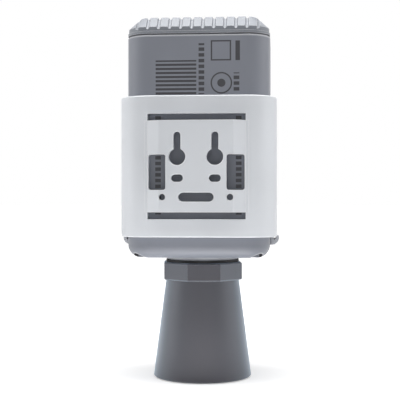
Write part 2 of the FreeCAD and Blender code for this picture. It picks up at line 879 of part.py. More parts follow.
def make_ring(label, inner, outer, height, z):
    """Plain ring about the sounding axis."""
    body = new_body(label, z=z)
    revolve(body, [(inner / 2, 0), (outer / 2, 0), (outer / 2, height), (inner / 2, height)])


def make_nut():
    """Hexagonal nut on the neck of the horn, inside the base."""
    body = new_body("lock_nut", z=FLOOR_Z)
    across = S.nut_flats / 2
    corner = NUT_CORNER
    hexagon = sketch_on(body, "XY_Plane")
    polygon(hexagon, [
        (corner, 0), (corner / 2, across), (-corner / 2, across),
        (-corner, 0), (-corner / 2, -across), (corner / 2, -across),
    ])
    circle(hexagon, S.neck_diameter + 2 * S.neck_gap)
    pad(body, hexagon, S.nut_height)


def make_transducer():
    """Sealed transducer can with a stepped back, and its rubber sleeve."""
    body = new_body("transducer", z=THROAT_Z)
    radius = S.transducer_diameter / 2
    step = S.transducer_height - S.throat_lip
    revolve(body, [
        (0, 0), (radius, 0), (radius, step), (radius - S.boot_thick, step),
        (radius - S.boot_thick, S.transducer_height), (0, S.transducer_height),
    ])
    inner = S.transducer_diameter + S.neck_gap
    make_ring("transducer_boot", inner, S.transducer_diameter + 2 * S.boot_thick, S.boot_height, THROAT_Z)


def bent_tube(points, diameter, bend):
    """Tube along straight runs that tangent arcs join."""
    edges = []
    start = points[0]
    for before, corner, after in zip(points, points[1:], points[2:]):
        towards = (before - corner).normalize()
        away = (after - corner).normalize()
        half = towards.getAngle(away) / 2
        entry = corner + towards * (bend / math.tan(half))
        leave = corner + away * (bend / math.tan(half))
        middle_way = (towards + away).normalize()
        middle = corner + middle_way * (bend / math.sin(half) - bend)
        edges.append(Part.LineSegment(start, entry).toShape())
        edges.append(Part.Arc(entry, middle, leave).toShape())
        start = leave
    edges.append(Part.LineSegment(start, points[-1]).toShape())
    ring = Part.Circle(points[0], points[1] - points[0], diameter / 2).toShape()
    return Part.Wire(edges).makePipeShell([Part.Wire([ring])], True, False)


def make_leads():
    """Two wires from the back of the transducer up to the plug on the board."""
    foot = THROAT_Z + S.transducer_height
    turn = GASKET_Z + S.neck_length + S.lead_bend
    plug_y = BOARD_FACE_Y + S.header_thick / 2
    top = BOARD_Z + S.header_z - S.plug_height
    tubes = []
    for side in (-1, 1):
        x = side * S.lead_spacing.value / 2
        points = [
            FreeCAD.Vector(x, 0, foot.value),
            FreeCAD.Vector(x, 0, (turn - S.lead_bend).value),
            FreeCAD.Vector(x, plug_y.value, turn.value),
            FreeCAD.Vector(x, plug_y.value, top.value),
        ]
        tubes.append(bent_tube(points, S.lead_diameter.value, S.lead_bend.value))
    leads = doc.addObject("Part::Feature", "transducer_leads")
    leads.Label = "transducer_leads"
    leads.Shape = Part.makeCompound(tubes)
    leads.Placement = FreeCAD.Placement()
    sub_parts.append(leads)


def make_carrier():
    """Inner frame: floor, upright web, posts for the retainer and standoffs for the board."""
    body = new_body("carrier", z=CARRIER_Z)
    half = S.carrier_width / 2
    floor = sketch_on(body, "XY_Plane")
    rectangle(floor, -half, half, CARRIER_REAR_Y, CARRIER_FRONT_Y)
    pad(body, floor, S.carrier_floor)
    rise = RETAINER_Z - DECK_Z
    web = sketch_on(body, "XY_Plane", S.carrier_floor)
    rectangle(web, -half, half, 0, S.web_thick)
    pad(body, web, rise)
    posts = sketch_on(body, "XY_Plane", S.carrier_floor)
    circles(posts, S.post_diameter, POSTS)
    pad(body, posts, rise)
    standoffs = sketch_on(body, "XZ_Plane", -S.web_thick)
    heights = [(x, z + S.carrier_floor + S.board_lift) for x, z in BOARD_HOLES]
    circles(standoffs, S.standoff_diameter, heights)
    pad(body, standoffs, S.standoff_length, downwards=True)
    notch = sketch_on(body, "XY_Plane", S.carrier_floor)
    notch_half = S.lead_notch_width / 2
    notch_start = S.web_thick + S.standoff_length / 2
    rectangle(notch, -notch_half, notch_half, notch_start, CARRIER_FRONT_Y + S.wall)
    pocket(body, notch, S.carrier_floor)
    shanks = sketch_on(body, "XY_Plane", S.carrier_floor)
    circles(shanks, S.screw_diameter + 2 * S.screw_clearance, PILLARS)
    pocket(body, shanks, S.carrier_floor)
    pilots = sketch_on(body, "XY_Plane", S.carrier_floor + rise)
    circles(pilots, SCREW_HOLE, POSTS)
    pocket(body, pilots, S.inner_screw_length)
    taps = sketch_on(body, "XZ_Plane", -BOARD_Y)
    circles(taps, SCREW_HOLE, heights)
    pocket(body, taps, S.inner_screw_length, along_normal=True)


def make_cells():
    """Two cylindrical cells, each with a button on top."""
    radius = S.cell_diameter / 2
    button = S.cell_button_diameter / 2
    top = S.cell_height + S.cell_button_height
    for label, side in (("battery_left", -1), ("battery_right", 1)):
        body = new_body(label, side * CELL_X, CELL_Y, CELL_Z)
        revolve(body, [
            (0, 0), (radius, 0), (radius, S.cell_height),
            (button, S.cell_height), (button, top), (0, top),
        ])


def make_contacts():
    """Bent leaf contacts under the cells and the plate that joins them above."""
    body = new_body("lower_contacts", y=CELL_Y, z=DECK_Z)
    thick = S.contact_thick
    profile = sketch_on(body, "XZ_Plane")
    for side in (-1, 1):
        tail = side * (CELL_X - S.contact_length / 2)
        heel = side * (CELL_X - S.contact_length / 3)
        crest_start = side * (CELL_X - S.contact_length / 6)
        crest_end = side * (CELL_X + S.contact_length / 6)
        polygon(profile, [
            (tail, 0), (heel, 0), (crest_start, S.contact_height - thick),
            (crest_end, S.contact_height - thick), (crest_end, S.contact_height),
            (crest_start - side * thick, S.contact_height), (heel - side * thick, thick),
            (tail, thick),
        ])
    pad(body, profile, S.contact_width, both_ways=True)
    new_box(
        "bus_plate", 2 * CELL_X + S.cell_button_diameter, S.bus_width, thick,
        0, CELL_Y - S.bus_width / 2, BUS_Z,
    )


def make_retainer():
    """Plate over the cells, screwed to the posts of the carrier."""
    body = new_body("battery_retainer", z=RETAINER_Z)
    half = S.carrier_width / 2
    plate = sketch_on(body, "XY_Plane")
    rectangle(plate, -half, half, CARRIER_REAR_Y, S.web_thick)
    circles(plate, S.screw_diameter + 2 * S.screw_clearance, POSTS)
    pad(body, plate, S.retainer_thick)


def make_board():
    """Circuit board on the standoffs of the carrier."""
    body = new_body("main_board", y=BOARD_Y, z=BOARD_Z)
    half = S.board_width / 2
    outline = sketch_on(body, "XZ_Plane")
    rectangle(outline, -half, half, 0, BOARD_HEIGHT)
    circles(outline, S.screw_diameter + 2 * S.screw_clearance, BOARD_HOLES)
    pad(body, outline, S.board_thick, downwards=True)


def make_board_parts():
    """Parts on the front of the board."""
    face = BOARD_FACE_Y
    new_box(
        "radio_module", S.radio_width, S.radio_thick, S.radio_height,
        S.radio_x, face, BOARD_Z + S.radio_z,
    )
    new_box(
        "controller_chip", S.chip_size, S.chip_thick, S.chip_size,
        S.chip_x, face, BOARD_Z + S.chip_z,
    )
    new_box(
        "drive_transformer", S.transformer_size, S.transformer_thick, S.transformer_size,
        S.transformer_x, face, BOARD_Z + S.transformer_z,
    )
    new_box(
        "status_led", S.led_width, S.led_thick, S.led_height,
        S.led_x, face, BOARD_Z + S.led_z,
    )
    new_box(
        "lead_header", S.header_width, S.header_thick, S.header_height,
        0, face, BOARD_Z + S.header_z,
    )
    new_box(
        "lead_plug", S.header_width - S.plug_shrink, S.header_thick - S.plug_shrink, S.plug_height,
        0, face + S.plug_shrink / 2, BOARD_Z + S.header_z - S.plug_height,
    )
    make_antenna(face)
    make_switch(face)


def make_antenna(face):
    """Sheet-metal antenna that stands up from the top edge of the board."""
    body = new_body("antenna", y=face, z=BOARD_Z + BOARD_HEIGHT - S.antenna_overlap)
    half = S.antenna_width / 2
    strip = S.antenna_strip
    top = S.antenna_height
    profile = sketch_on(body, "XZ_Plane")
    polygon(profile, [
        (-half, 0), (strip - half, 0), (strip - half, top - strip),
        (3 * strip - half, top - strip), (3 * strip - half, 0), (4 * strip - half, 0),
        (4 * strip - half, top - strip), (half, top - strip), (half, top), (-half, top),
    ])
    pad(body, profile, S.antenna_thick, downwards=True)


def make_switch(face):
    """Push switch on the board, with a round button that travels into it."""
    body = new_body("switch_body", S.switch_x, face, BOARD_Z + S.switch_z)
    half = S.switch_size / 2
    outline = sketch_on(body, "XZ_Plane")
    rectangle(outline, -half, half, -half, half)
    pad(body, outline, S.switch_thick, downwards=True)
    well = sketch_on(body, "XZ_Plane", -S.switch_thick)
    circle(well, S.button_diameter + 2 * S.button_gap)
    pocket(body, well, S.button_depth, along_normal=True)
    travel = S.button_depth / 2
    button = new_body("power_button", S.switch_x, face + S.switch_thick - travel, BOARD_Z + S.switch_z)
    disc = sketch_on(button, "XZ_Plane")
    circle(disc, S.button_diameter)
    pad(button, disc, S.button_height + travel, downwards=True)


def make_screws(label, places, length, z, head_up):
    """Group of upright screws, heads up or down, with their bearing faces at z."""
    body = new_body(label, z=z)
    shanks = sketch_on(body, "XY_Plane")
    circles(shanks, S.screw_diameter, places)
    heads = sketch_on(body, "XY_Plane")
    circles(heads, S.screw_head_diameter, places)
    pad_group(body, shanks, length, head_up)
    pad_group(body, heads, S.screw_head_height, not head_up)


def pad_group(body, sketch, length, downwards):
    """Raise several separate solids from one sketch."""
    body.AllowCompound = True
    pad(body, sketch, length, downwards)


def make_board_screws():
    """Screws that hold the board on its standoffs, heads towards the front."""
    body = new_body("board_screws", y=BOARD_FACE_Y, z=BOARD_Z)
    shanks = sketch_on(body, "XZ_Plane")
    circles(shanks, S.screw_diameter, BOARD_HOLES)
    heads = sketch_on(body, "XZ_Plane")
    circles(heads, S.screw_head_diameter, BOARD_HOLES)
    pad_group(body, shanks, S.inner_screw_length, False)
    pad_group(body, heads, S.screw_head_height, True)


def check_document():
    """Stop if any object failed or any sub-part has no valid solid."""
    for item in doc.Objects:
        if "Invalid" in item.State or "Error" in item.State:
            raise RuntimeError(f"{item.Name} is {item.State}")
    for part in sub_parts:
        if part.Shape.isNull() or not part.Shape.isValid() or not part.Shape.Solids:
            raise RuntimeError(f"{part.Label} has no valid solid")


def write_parts():
    """Write every sub-part to its own file."""
    os.makedirs("parts", exist_ok=True)
    for part in sub_parts:
        part.Shape.exportStep(f"parts/{part.Label}.step")
        print(f"{part.Label}: {len(part.Shape.Solids)} solids, {part.Shape.Volume:.1f} mm3")


make_housing()
make_cap()
make_seal("cap_seal", CAP_SEAL_Z)
make_base()
make_seal("base_seal", BASE_SEAL_Z)
make_bracket()
make_horn()
make_ring("horn_gasket", S.neck_diameter + 2 * S.neck_gap, S.gasket_diameter, S.gasket_thickness, GASKET_Z)
make_nut()
make_transducer()
make_leads()
make_carrier()
make_cells()
make_contacts()
make_retainer()
make_board()
make_board_parts()
make_screws("base_screws", CORNERS, S.base_screw_length, BASE_Z + S.base_height, False)
make_screws("carrier_screws", PILLARS, S.inner_screw_length, DECK_Z, True)
make_screws("retainer_screws", POSTS, S.inner_screw_length, RETAINER_Z + S.retainer_thick, True)
make_board_screws()
doc.recompute()
check_document()
write_parts()
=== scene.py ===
# %% [markdown]
# # Wireless ultrasonic level sensor
# A grey rounded-square case with a ribbed cap stands on a downward horn, and a pale
# C-shaped bracket holds it to the wall. The picture shows the wall side.

# %% [markdown]
# ## The frame
# The imported CAD model holds every piece of the sensor at its real size. It could be drawn anew
# here, but then two models would have to agree. So the CAD pieces are loaded once and stay where
# they are, and this script adds their finish.

import math

import bpy
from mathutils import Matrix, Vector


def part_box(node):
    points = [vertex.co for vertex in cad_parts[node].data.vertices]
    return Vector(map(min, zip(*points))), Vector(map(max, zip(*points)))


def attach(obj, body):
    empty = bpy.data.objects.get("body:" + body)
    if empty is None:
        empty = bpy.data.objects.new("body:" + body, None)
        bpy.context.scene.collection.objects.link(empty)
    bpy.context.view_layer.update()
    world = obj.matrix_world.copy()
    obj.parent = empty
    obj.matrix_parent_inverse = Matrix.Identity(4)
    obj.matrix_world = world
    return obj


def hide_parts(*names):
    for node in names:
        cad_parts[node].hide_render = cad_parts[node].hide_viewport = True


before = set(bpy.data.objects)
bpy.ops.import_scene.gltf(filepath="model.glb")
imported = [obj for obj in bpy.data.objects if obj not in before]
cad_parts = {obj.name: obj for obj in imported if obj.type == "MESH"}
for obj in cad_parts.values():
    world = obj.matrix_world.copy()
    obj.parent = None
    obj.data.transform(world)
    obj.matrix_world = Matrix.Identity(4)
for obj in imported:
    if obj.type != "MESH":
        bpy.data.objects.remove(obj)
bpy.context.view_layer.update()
bpy.ops.object.select_all(action="DESELECT")

# %% [markdown]
# ## Camera
# The photo looks level at the wall side from about half a metre, a little from the right. A camera
# could be aimed by eye or by a Track To constraint. Here it stands on a circle about the sensor's
# axis, so that one angle, one distance and one height set the view, and a level camera keeps the
# case's edges upright. A small shift moves the axis to its place in the picture.

# %% Place the camera
AZIMUTH = math.radians(4.6)
DISTANCE = 0.5
EYE_HEIGHT = 0.0921
AXIS_SHIFT = 0.00135
LENS = 85.2
SENSOR_WIDTH = 36
NEAR_LIMIT = 0.01

right = (math.cos(AZIMUTH), math.sin(AZIMUTH))
target = (-AXIS_SHIFT * right[0], -AXIS_SHIFT * right[1])
bpy.ops.object.camera_add(
    location=(
        target[0] + DISTANCE * math.sin(AZIMUTH),
        target[1] - DISTANCE * math.cos(AZIMUTH),
        EYE_HEIGHT,
    ),
    rotation=(math.radians(90), 0, AZIMUTH),
)
camera = bpy.context.object
camera.data.lens = LENS
camera.data.sensor_width = SENSOR_WIDTH
camera.data.clip_start = NEAR_LIMIT
bpy.context.scene.camera = camera
bpy.context.scene.view_settings.view_transform = "Standard"
print("camera at", [round(value, 4) for value in camera.location])

# %% [markdown]
# ## Node helpers
# A material is a tree of nodes, joined from socket to socket. It could be wired by hand in the
# shader editor, and in code every node takes several lines. These helpers add a node, set its
# plain values and join it in one call, so that each recipe below reads as a list of steps. Most of
# a noise lies between the two limits given here, so they become the ends of a new range.

# %% Helpers for node trees
NOISE_LOW = 0.3
NOISE_HIGH = 0.7


def add_node(tree, kind, **values):
    """Add a node and set its inputs, by name, to plain values or to other sockets."""
    item = tree.nodes.new(kind)
    for name, value in values.items():
        set_input(tree, item.inputs[name.replace("_", " ")], value)
    return item


def set_input(tree, socket, value):
    """Give a socket a plain value or join another socket to it."""
    if isinstance(value, bpy.types.NodeSocket):
        tree.links.new(value, socket)
    else:
        socket.default_value = value


def calculate(tree, operation, *values):
    """Add one step of arithmetic and return its result."""
    item = tree.nodes.new("ShaderNodeMath")
    item.operation = operation
    for socket, value in zip(item.inputs, values):
        set_input(tree, socket, value)
    return item.outputs[0]


def spread(tree, value, low, high):
    """Stretch a value from the middle range of a noise to a new range."""
    item = add_node(
        tree, "ShaderNodeMapRange", Value=value,
        From_Min=NOISE_LOW, From_Max=NOISE_HIGH, To_Min=low, To_Max=high,
    )
    item.interpolation_type = "SMOOTHSTEP"
    return item.outputs[0]


def mix_colours(tree, factor, first, second):
    """Blend two colours by a factor."""
    item = tree.nodes.new("ShaderNodeMix")
    item.data_type = "RGBA"
    set_input(tree, item.inputs[0], factor)
    set_input(tree, item.inputs[6], first)
    set_input(tree, item.inputs[7], second)
    return item.outputs[2]


def new_group(name, inputs, outputs):
    """Start a node group from its input and output sockets, given as name and kind."""
    tree = bpy.data.node_groups.new(name, "ShaderNodeTree")
    for label, kind in inputs:
        tree.interface.new_socket(label, in_out="INPUT", socket_type=f"NodeSocket{kind}")
    for label, kind in outputs:
        tree.interface.new_socket(label, in_out="OUTPUT", socket_type=f"NodeSocket{kind}")
    return tree, tree.nodes.new("NodeGroupInput"), tree.nodes.new("NodeGroupOutput")


def use_group(tree, name, **values):
    """Add a node group to a tree and set its inputs."""
    item = tree.nodes.new("ShaderNodeGroup")
    item.node_tree = bpy.data.node_groups[name]
    for label, value in values.items():
        set_input(tree, item.inputs[label.replace("_", " ")], value)
    return item


print("helpers ready")

# %% [markdown]
# ## Studio
# The picture has a white background, but white light from all round would wash out the grey case.
# So the surround and the floor look white only to rays that show them: straight to the camera, in
# a reflection or through something clear. Light that falls on the object stays at a plain level.


# %% Rays that see the studio
def seen_rays(tree):
    """Give 1 for rays that show the studio: to the camera, in a reflection or through glass."""
    rays = tree.nodes.new("ShaderNodeLightPath")
    mirrored = calculate(
        tree, "MAXIMUM", rays.outputs["Is Glossy Ray"], rays.outputs["Is Transmission Ray"]
    )
    return calculate(tree, "MAXIMUM", rays.outputs["Is Camera Ray"], mirrored)


print("studio rays ready")

# %% [markdown]
# ## Floor
# The sensor stands on a pale sheet of paper. A curved backdrop would do as well, but for a level
# camera a large plane is enough. Its matt surface keeps the soft shadow near the horn, and a glow
# that grows with distance lets it fade into the white background.

# %% Floor
FLOOR_SIZE = 30
FLOOR_DROP = 0.0004
FLOOR_PALE = (0.76, 0.76, 0.77, 1)
FLOOR_PALER = (0.78, 0.78, 0.78, 1)
PAPER_GRAIN = 40.0
FADE_START = 0.05
FADE_END = 0.6
GLOW_NEAR = 0.38
GLOW_FAR = 1.0

bpy.ops.mesh.primitive_plane_add(size=FLOOR_SIZE, location=(0, 0, -FLOOR_DROP))
floor = bpy.context.object
floor.name = "floor"
paper = bpy.data.materials.new("floor_paper")
paper.use_nodes = True
tree = paper.node_tree
tree.nodes.clear()
place = tree.nodes.new("ShaderNodeTexCoord")
grain = add_node(
    tree, "ShaderNodeTexNoise", Vector=place.outputs["Object"], Scale=PAPER_GRAIN
)
tone = mix_colours(tree, grain.outputs[0], FLOOR_PALE, FLOOR_PALER)
matt = add_node(tree, "ShaderNodeBsdfDiffuse", Color=tone)
distance = tree.nodes.new("ShaderNodeVectorMath")
distance.operation = "LENGTH"
tree.links.new(place.outputs["Object"], distance.inputs[0])
fade = add_node(
    tree, "ShaderNodeMapRange", Value=distance.outputs["Value"],
    From_Min=FADE_START, From_Max=FADE_END, To_Min=GLOW_NEAR, To_Max=GLOW_FAR,
)
lift = calculate(tree, "MULTIPLY", seen_rays(tree), fade.outputs[0])
glow = add_node(tree, "ShaderNodeEmission", Strength=lift)
both = tree.nodes.new("ShaderNodeAddShader")
tree.links.new(matt.outputs[0], both.inputs[0])
tree.links.new(glow.outputs[0], both.inputs[1])
add_node(tree, "ShaderNodeOutputMaterial", Surface=both.outputs[0])
floor.data.materials.append(paper)
print("floor", floor.dimensions[:])

# %% [markdown]
# ## Surround
# The world is what rays meet when they leave the scene. A picture of a studio could fill it, but
# one even colour needs no file. Seen directly it has a strength of 1, which renders as white, and
# as a light it stays weak, so that the gaps behind the bracket go dark.

# %% Surround
SURROUND = 0.09

world = bpy.data.worlds.new("studio")
bpy.context.scene.world = world
world.use_nodes = True
tree = world.node_tree
tree.nodes.clear()
level = calculate(tree, "MULTIPLY_ADD", seen_rays(tree), 1.0 - SURROUND, SURROUND)
sky = add_node(tree, "ShaderNodeBackground", Color=(1, 1, 1, 1), Strength=level)
add_node(tree, "ShaderNodeOutputWorld", Surface=sky.outputs[0])
print("surround level", SURROUND)

# %% [markdown]
# ## Softboxes
# The photo shows a bright top, soft ramps of light at the rounded corners and a bright lower edge.
# Area lamps give such soft light, because they have a size: a large one overhead, two upright ones
# at the sides, weak ones on the near and far sides, and a small one on the floor that stands for
# light thrown back upwards. The lamps themselves don't show in the picture.

# %% Softboxes
# Place in metres, turn in degrees, width and height in metres, power in watts.
LIGHTS = {
    "overhead": ((0.0, -0.07, 0.62), (0, 0, 0), (0.8, 0.4), 6.2),
    "left": ((-0.50, -0.06, 0.14), (90, 0, -83), (0.35, 0.7), 0.8),
    "right": ((0.50, -0.04, 0.14), (90, 0, 88), (0.35, 0.7), 0.8),
    "near": ((0.1, -1.2, 0.35), (75, 0, 5), (0.6, 0.6), 0.1),
    "far": ((-0.1, 1.2, 0.35), (-75, 0, 5), (0.6, 0.6), 0.45),
    "bounce": ((0.0, -0.072, 0.002), (180, 0, 0), (0.1, 0.06), 0.055),
}
for name, (spot, turn, size, power) in LIGHTS.items():
    bpy.ops.object.light_add(
        type="AREA", location=spot, rotation=[math.radians(angle) for angle in turn]
    )
    lamp = bpy.context.object
    lamp.name = f"softbox_{name}"
    lamp.data.shape = "RECTANGLE"
    lamp.data.size, lamp.data.size_y = size
    lamp.data.energy = power
    lamp.visible_camera = False
print("softboxes", len(LIGHTS))

# %% [markdown]
# ## Moulded plastic
# The case, the cap, the horn and the bracket are moulded, with a fine grain and a slow drift in
# tone. Each material could have its own noise, but a node group is built once and used in all of
# them, with its own colour, grain and roughness. It reads Object coordinates, so the grain keeps
# its real size and stays on the piece when it moves.

# %% Moulded plastic
BLACK = (0, 0, 0, 1)
DRIFT_SCALE = 28.0
DRIFT_DARK = 0.07
DRIFT_ROUGH = 0.06

tree, given, result = new_group(
    "moulded_plastic",
    [("Colour", "Color"), ("Grain", "Float"), ("Rough", "Float")],
    [("Colour", "Color"), ("Roughness", "Float"), ("Height", "Float")],
)
place = tree.nodes.new("ShaderNodeTexCoord")
fine = add_node(
    tree, "ShaderNodeTexNoise", Vector=place.outputs["Object"], Scale=given.outputs["Grain"], Detail=2.0
)
slow = add_node(
    tree, "ShaderNodeTexNoise", Vector=place.outputs["Object"], Scale=DRIFT_SCALE, Detail=1.0
)
dark = mix_colours(tree, DRIFT_DARK, given.outputs["Colour"], BLACK)
tone = mix_colours(tree, spread(tree, slow.outputs[0], 0.0, 1.0), dark, given.outputs["Colour"])
rough_low = calculate(tree, "SUBTRACT", given.outputs["Rough"], DRIFT_ROUGH)
rough_high = calculate(tree, "ADD", given.outputs["Rough"], DRIFT_ROUGH)
tree.links.new(tone, result.inputs["Colour"])
tree.links.new(spread(tree, slow.outputs[0], rough_low, rough_high), result.inputs["Roughness"])
tree.links.new(fine.outputs[0], result.inputs["Height"])
print("group", tree.name)

# %% [markdown]
# ## Worked metal
# Screws, contacts and shields are drawn or rolled, which leaves fine streaks along one direction.
# A scratch picture could show them. Stretched noise does it without a file: a Mapping node packs
# the pattern closely across the streaks, and the noise varies colour, roughness and height.

# %% Worked metal
STREAK_SCALE = (900.0, 900.0, 60.0)
STREAK_GREY = (0.1, 0.1, 0.1, 1)
STREAK_DARK = 0.25
STREAK_ROUGH = 0.15

tree, given, result = new_group(
    "worked_metal",
    [("Colour", "Color"), ("Rough", "Float")],
    [("Colour", "Color"), ("Roughness", "Float"), ("Height", "Float")],
)
place = tree.nodes.new("ShaderNodeTexCoord")
drawn = add_node(tree, "ShaderNodeMapping", Vector=place.outputs["Object"], Scale=STREAK_SCALE)
streak = add_node(tree, "ShaderNodeTexNoise", Vector=drawn.outputs[0], Scale=1.0, Detail=3.0)
dull = mix_colours(tree, STREAK_DARK, given.outputs["Colour"], STREAK_GREY)
tone = mix_colours(tree, spread(tree, streak.outputs[0], 0.0, 1.0), dull, given.outputs["Colour"])
rough_high = calculate(tree, "ADD", given.outputs["Rough"], STREAK_ROUGH)
tree.links.new(tone, result.inputs["Colour"])
tree.links.new(
    spread(tree, streak.outputs[0], given.outputs["Rough"], rough_high), result.inputs["Roughness"]
)
tree.links.new(streak.outputs[0], result.inputs["Height"])
print("group", tree.name)

# %% [markdown]
# ## Soft edges
# No moulded edge is perfectly sharp, and its small radius is what catches the light. Rounding the
# CAD meshes would change them, so the Bevel node bends the normals near an edge instead.

# %% Soft edges
EDGE_SAMPLES = 6

tree, given, result = new_group("soft_edges", [("Radius", "Float")], [("Normal", "Vector")])
bevel = add_node(tree, "ShaderNodeBevel", Radius=given.outputs["Radius"])
bevel.samples = EDGE_SAMPLES
tree.links.new(bevel.outputs[0], result.inputs["Normal"])
print("group", tree.name)

# %% [markdown]
# ## Painted edge highlights
# Thin bright lines follow the edges of the openings, the cap's ribs and the flange, and they are
# painted highlights. A mask for them could be painted by hand. Here it comes from the shape: where
# the bevelled normal leaves the face's own normal there is an edge, and the mask rises with the angle
# between the two.

# %% Painted edge highlights
tree, given, result = new_group(
    "painted_edge_highlights", [("Radius", "Float"), ("Gain", "Float")], [("Mask", "Float")]
)
bevel = add_node(tree, "ShaderNodeBevel", Radius=given.outputs["Radius"])
bevel.samples = EDGE_SAMPLES
face = tree.nodes.new("ShaderNodeNewGeometry")
likeness = tree.nodes.new("ShaderNodeVectorMath")
likeness.operation = "DOT_PRODUCT"
tree.links.new(bevel.outputs[0], likeness.inputs[0])
tree.links.new(face.outputs["Normal"], likeness.inputs[1])
turned = calculate(tree, "SUBTRACT", 1.0, likeness.outputs["Value"])
mask = calculate(tree, "MULTIPLY", turned, given.outputs["Gain"])
tree.links.new(calculate(tree, "MINIMUM", mask, 1.0), result.inputs["Mask"])
print("group", tree.name)

# %% [markdown]
# ## Starting and finishing a material
# Every slot of the model arrives with a plain material. All recipes begin and end alike: the old
# nodes go, one Principled surface comes in, and grain and soft edges join its normal. Some have
# painted highlights along their edges too. Short functions hold these shared steps, and what
# differs stays in the recipes.

# %% Starting and finishing a material
GRAIN_STRENGTH = 0.35


def start_material(slot):
    """Empty a slot's material and return its tree and its surface node."""
    material = bpy.data.materials[slot]
    material.use_nodes = True
    tree = material.node_tree
    tree.nodes.clear()
    surface = tree.nodes.new("ShaderNodeBsdfPrincipled")
    add_node(tree, "ShaderNodeOutputMaterial", Surface=surface.outputs[0])
    return tree, surface


def paint_edge_highlights(tree, effect, radius, gain, amount, bright, sharpness=1.0):
    """Paint a highlight into an effect's colour along the edges and return the colour."""
    edges = use_group(tree, "painted_edge_highlights", Radius=radius, Gain=gain)
    mask = calculate(tree, "POWER", edges.outputs["Mask"], sharpness)
    glint = calculate(tree, "MULTIPLY", mask, amount)
    return mix_colours(tree, glint, effect.outputs["Colour"], bright)


def finish_surface(tree, surface, effect, depth, edge):
    """Join a surface effect to the surface node, with its grain and its soft edges."""
    soft = use_group(tree, "soft_edges", Radius=edge)
    bump = add_node(
        tree, "ShaderNodeBump", Strength=GRAIN_STRENGTH, Distance=depth,
        Height=effect.outputs["Height"], Normal=soft.outputs[0],
    )
    tree.links.new(effect.outputs["Roughness"], surface.inputs["Roughness"])
    tree.links.new(bump.outputs[0], surface.inputs["Normal"])


print("material steps ready")

# %% [markdown]
# ## Small plastics
# Inside are a black carrier, wrapped battery cells, chips, a connector and wires. They have no
# marks of their own, so a table of colour, grain, roughness, grain depth and edge radius is
# enough, and one loop makes them all.

# %% Recipes for small plastics
# Colour, grains per metre, roughness, depth of the grain and radius of the edges in metres.
PLASTICS = {
    "wire_red": ((0.42, 0.05, 0.04, 1), 3000.0, 0.40, 0.00002, 0.0001),
    "header_white": ((0.78, 0.75, 0.66, 1), 2600.0, 0.40, 0.00002, 0.0001),
    "carrier_black": ((0.035, 0.036, 0.038, 1), 2400.0, 0.45, 0.00004, 0.0002),
    "cell_wrap": ((0.08, 0.26, 0.14, 1), 1200.0, 0.25, 0.00002, 0.0003),
    "chip_black": ((0.026, 0.026, 0.028, 1), 3600.0, 0.50, 0.00003, 0.0001),
    "led_clear": ((0.82, 0.82, 0.76, 1), 2000.0, 0.18, 0.00001, 0.0001),
}
for slot, (colour, grain_size, rough, depth, edge) in PLASTICS.items():
    tree, surface = start_material(slot)
    effect = use_group(tree, "moulded_plastic", Colour=colour, Grain=grain_size, Rough=rough)
    tree.links.new(effect.outputs["Colour"], surface.inputs["Base Color"])
    finish_surface(tree, surface, effect, depth, edge)
print("plastics", len(PLASTICS))

# %% [markdown]
# ## Seals
# The thin seals of the case show as grey lines, while the thick gasket above the horn is black.
# They share one slot. A second material would do, but the height already tells them apart: above
# the gasket's top the paler rubber is used.

# %% Recipe for the seals
GASKET_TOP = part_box("horn_gasket")[1][2]
GASKET_BLACK = (0.012, 0.012, 0.013, 1)
SEAL_GREY = (0.14, 0.143, 0.155, 1)

tree, surface = start_material("seal_black")
place = tree.nodes.new("ShaderNodeTexCoord")
split = add_node(tree, "ShaderNodeSeparateXYZ", Vector=place.outputs["Object"])
case_seal = calculate(tree, "GREATER_THAN", split.outputs["Z"], GASKET_TOP)
tone = mix_colours(tree, case_seal, GASKET_BLACK, SEAL_GREY)
effect = use_group(tree, "moulded_plastic", Colour=tone, Grain=3000.0, Rough=0.70)
tree.links.new(effect.outputs["Colour"], surface.inputs["Base Color"])
finish_surface(tree, surface, effect, depth=0.00004, edge=0.0001)
print("seals done")

# %% [markdown]
# ## Horn
# The horn and its eight-sided flange are one dark satin moulding. In the photo it is darkest in
# the middle and turns paler and cooler towards its sides. Another lamp could do that, but it would
# light the case too. Sheen, which grows where a surface turns away, gives it to the horn alone,
# and a painted highlight along the edges draws the flange's lower rim.

# %% Recipe for the horn
HORN_GREY = (0.068, 0.064, 0.074, 1)
HORN_EDGE_HIGHLIGHT = (0.5, 0.5, 0.53, 1)
HORN_SHEEN = (0.7, 0.85, 1.0, 1)
HORN_GLOSS = 0.35

tree, surface = start_material("horn_grey")
effect = use_group(tree, "moulded_plastic", Colour=HORN_GREY, Grain=2400.0, Rough=0.36)
# Painted highlight: a pale colour is mixed in along the flange's edges, strongest at its lower rim.
tone = paint_edge_highlights(
    tree, effect, radius=0.0008, gain=3.0, amount=0.9, bright=HORN_EDGE_HIGHLIGHT, sharpness=2.0
)
tree.links.new(tone, surface.inputs["Base Color"])
surface.inputs["Specular IOR Level"].default_value = HORN_GLOSS
surface.inputs["Sheen Weight"].default_value = 1.0
surface.inputs["Sheen Tint"].default_value = HORN_SHEEN
finish_surface(tree, surface, effect, depth=0.00003, edge=0.0003)
print("horn done")

# %% [markdown]
# ## Bracket
# The bracket is white plastic. Written as pure white it would clip under the lamps, so its colour
# is a pale cool grey, and painted highlights draw the bright rims of its keyholes, slots and windows.

# %% Recipe for the bracket
BRACKET_WHITE = (0.756, 0.780, 0.816, 1)
BRACKET_EDGE_HIGHLIGHT = (0.95, 0.95, 0.96, 1)

tree, surface = start_material("bracket_white")
effect = use_group(tree, "moulded_plastic", Colour=BRACKET_WHITE, Grain=2200.0, Rough=0.36)
# Painted highlight along the rims of the openings and the bracket's edges.
tone = paint_edge_highlights(tree, effect, radius=0.0006, gain=24.0, amount=0.6, bright=BRACKET_EDGE_HIGHLIGHT)
tree.links.new(tone, surface.inputs["Base Color"])
finish_surface(tree, surface, effect, depth=0.00003, edge=0.0002)
print("bracket done")
